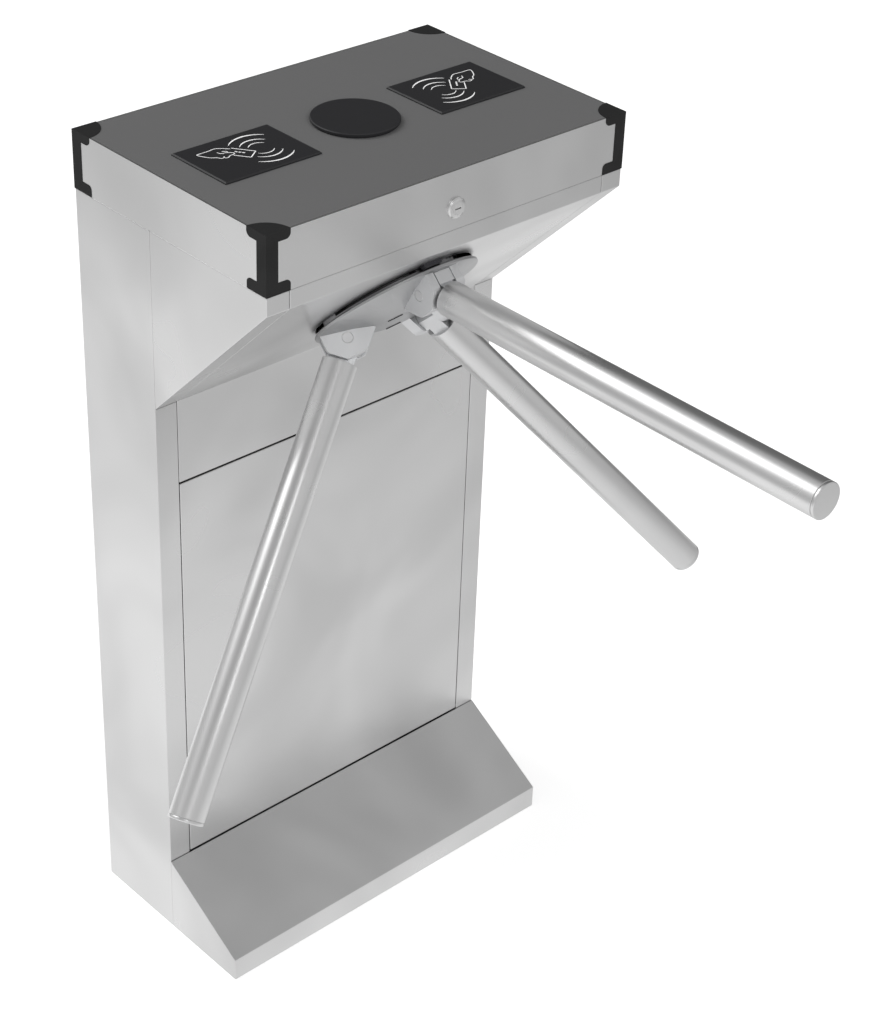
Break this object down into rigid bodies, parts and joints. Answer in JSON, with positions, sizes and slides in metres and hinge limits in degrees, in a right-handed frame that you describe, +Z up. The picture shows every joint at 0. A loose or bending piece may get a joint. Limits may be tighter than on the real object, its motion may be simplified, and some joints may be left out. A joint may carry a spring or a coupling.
{
  "type": "tripod turnstile",
  "caption": "Waist-high tripod turnstile with a folded stainless housing, hinged lid and a rotor of drop arms on a sloping hub.",
  "frame": {"origin": "on the floor, at the centre of the anchor holes, which is the middle of the footprint", "axes": "+Z up, -Y towards the passage and the arms, +X to the right of someone who faces the arms"},
  "size_m": [0.7798, 0.8138, 0.9848],
  "materials": {
    "stainless": "satin",
    "arm_steel": "fine satin",
    "cast_steel": "satin",
    "bright_steel": "bright",
    "zinc_steel": "zinc plated",
    "panel_grey": "matte",
    "guard_black": "matte",
    "reader_black": "satin",
    "module_plastic": "matte",
    "board_green": "satin",
    "plate_black": "satin",
    "housing_alu": "satin",
    "tool_steel": "ground",
    "bearing_steel": "polished",
    "spring_steel": "drawn",
    "roller_rubber": "matte",
    "magnet_bronze": "satin",
    "gear_brass": "machined",
    "sensor_black": "matte",
    "box_grey": "satin",
    "supply_metal": "satin"
  },
  "bodies": {
    "housing": {"base_plate": "zinc_steel", "base_cover": "stainless", "column_shell": "stainless", "head_cheek_left": "stainless", "head_cheek_right": "stainless", "front_panel": "stainless", "door_brackets": "zinc_steel", "lock_striker": "stainless", "hinge_leaves_body": "stainless", "hinge_pins": "bright_steel", "mech_plate": "plate_black", "mech_rails": "zinc_steel", "mech_rear_plate": "zinc_steel", "bearing_housing": "housing_alu", "bearing_outer_rings": "bearing_steel", "bearing_balls": "bearing_steel", "rotor_sensor": "sensor_black", "pawl_magnets": "magnet_bronze", "index_spring": "spring_steel", "damper_body": "plate_black", "control_box": "box_grey", "power_supply": "supply_metal"},
    "rotor": {"rotor_disc": "cast_steel", "clevis_cheeks": "cast_steel", "arm_pins": "bright_steel", "disc_screws": "bright_steel", "main_shaft": "tool_steel", "shaft_nut": "zinc_steel", "bearing_inner_rings": "bearing_steel", "bearing_spacer": "tool_steel", "index_disc": "tool_steel", "shaft_gear": "gear_brass"},
    "arm_a": {"arm_tongue_a": "cast_steel", "arm_tube_a": "arm_steel", "arm_cap_a": "arm_steel"},
    "arm_b": {"arm_tongue_b": "cast_steel", "arm_tube_b": "arm_steel", "arm_cap_b": "arm_steel"},
    "arm_c": {"arm_tongue_c": "cast_steel", "arm_tube_c": "arm_steel", "arm_cap_c": "arm_steel"},
    "pinion": {"damper_pinion": "gear_brass"},
    "lever": {"index_lever": "tool_steel"},
    "roller": {"index_roller": "roller_rubber"},
    "left_pawl": {"pawl_left": "tool_steel"},
    "right_pawl": {"pawl_right": "tool_steel"},
    "lid": {"lid_shell": "stainless", "top_panel": "panel_grey", "corner_guards": "guard_black", "reader_plate_left": "reader_black", "reader_plate_right": "reader_black", "reader_modules": "module_plastic", "indicator_cap": "reader_black", "indicator_board": "board_green", "lock_body": "bright_steel", "hinge_leaves_lid": "stainless"},
    "lock": {"lock_plug": "bright_steel", "lock_cam": "zinc_steel"},
    "door": {"service_door": "stainless", "door_pegs": "bright_steel"}
  },
  "joints": [
    {"name": "rotor_spin", "type": "hinge", "parent": "housing", "child": "rotor", "pos_m": [0, -0.09853, 0.80603], "axis": [0, -0.7071, -0.7071], "continuous": true},
    {"name": "damper_spin", "type": "hinge", "parent": "housing", "child": "pinion", "pos_m": [0, -0.00626, 0.84104], "axis": [0, -0.7071, -0.7071], "continuous": true},
    {"name": "arm_a_drop", "type": "hinge", "parent": "rotor", "child": "arm_a", "pos_m": [-0.05695, -0.09124, 0.76683], "axis": [-0.5, -0.6124, 0.6124], "range_deg": [0, 45]},
    {"name": "arm_b_drop", "type": "hinge", "parent": "rotor", "child": "arm_b", "pos_m": [0, -0.16099, 0.83658], "axis": [1, 0, 0], "range_deg": [0, 90]},
    {"name": "arm_c_drop", "type": "hinge", "parent": "rotor", "child": "arm_c", "pos_m": [0.05695, -0.09124, 0.76683], "axis": [-0.5, 0.6124, -0.6124], "range_deg": [0, 45]},
    {"name": "index_lever_swing", "type": "hinge", "parent": "housing", "child": "lever", "pos_m": [-0.0439, -0.00569, 0.82633], "axis": [0, 0.7071, 0.7071], "range_deg": [0, 13]},
    {"name": "roller_spin", "type": "hinge", "parent": "lever", "child": "roller", "pos_m": [0, -0.00923, 0.81855], "axis": [0, -0.7071, -0.7071], "continuous": true},
    {"name": "left_pawl_swing", "type": "hinge", "parent": "housing", "child": "left_pawl", "pos_m": [-0.058, -0.02217, 0.82866], "axis": [0, 0.7071, 0.7071], "range_deg": [0, 8], "stiffness_Nm_per_rad": 0.5, "springref_deg": -11.46},
    {"name": "right_pawl_swing", "type": "hinge", "parent": "housing", "child": "right_pawl", "pos_m": [0.058, -0.02217, 0.82866], "axis": [0, -0.7071, -0.7071], "range_deg": [0, 8], "stiffness_Nm_per_rad": 0.5, "springref_deg": -11.46},
    {"name": "lid_lift", "type": "hinge", "parent": "housing", "child": "lid", "pos_m": [0, 0.1278, 0.9152], "axis": [-1, 0, 0], "range_deg": [0, 95]},
    {"name": "lock_turn", "type": "hinge", "parent": "lid", "child": "lock", "pos_m": [0, -0.1875, 0.9394], "axis": [0, -1, 0], "range_deg": [0, 90]},
    {"name": "door_pull", "type": "slide", "parent": "housing", "child": "door", "axis": [0, -1, 0], "range_m": [0, 0.1]}
  ],
  "couplings": [
    {"joint": "damper_spin", "follows": "rotor_spin", "ratio": -2}
  ]
}
